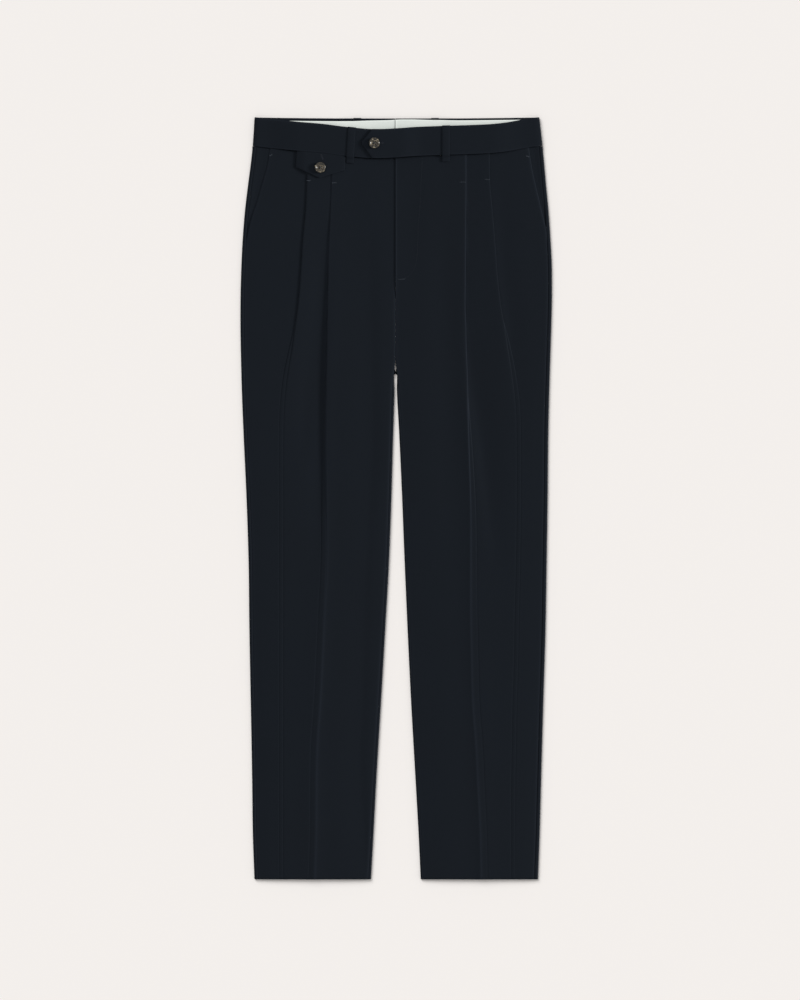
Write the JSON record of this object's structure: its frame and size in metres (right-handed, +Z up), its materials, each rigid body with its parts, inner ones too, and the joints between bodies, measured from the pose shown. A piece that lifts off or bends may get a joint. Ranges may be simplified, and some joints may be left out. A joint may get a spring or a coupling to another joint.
{
  "type": "pleated dress trousers",
  "caption": "Pleated dress trousers in dark wool, laid flat with the front up: reverse pleats, slant pockets, pointed waistband tab, coin pocket flap and belt loops.",
  "frame": {"origin": "middle of the underside of the garment's box, on the surface it lies on", "axes": "+Z up out of the front of the trousers, +Y towards the waist, +X towards the wearer's left"},
  "size_m": [0.4418, 1.0801, 0.013],
  "materials": {
    "navy_wool": "fine matt twill wool, very dark navy",
    "waistband_lining": "plain off-white cotton lining",
    "horn": "polished brown and cream marbled horn-like button"
  },
  "bodies": {
    "root": {"back_right": "navy_wool", "back_left": "navy_wool", "front_right": "navy_wool", "front_left": "navy_wool", "hip_facing_right": "navy_wool", "hip_facing_left": "navy_wool", "waistband_right": "navy_wool", "waistband_left": "navy_wool", "waistband_lining_right": "waistband_lining", "waistband_lining_left": "waistband_lining", "belt_loop_front_right": "navy_wool", "belt_loop_front_left": "navy_wool", "belt_loop_back_right": "navy_wool", "belt_loop_back_left": "navy_wool", "coin_pocket_flap": "navy_wool", "coin_flap_button": "horn", "waistband_button": "horn"}
  },
  "joints": []
}
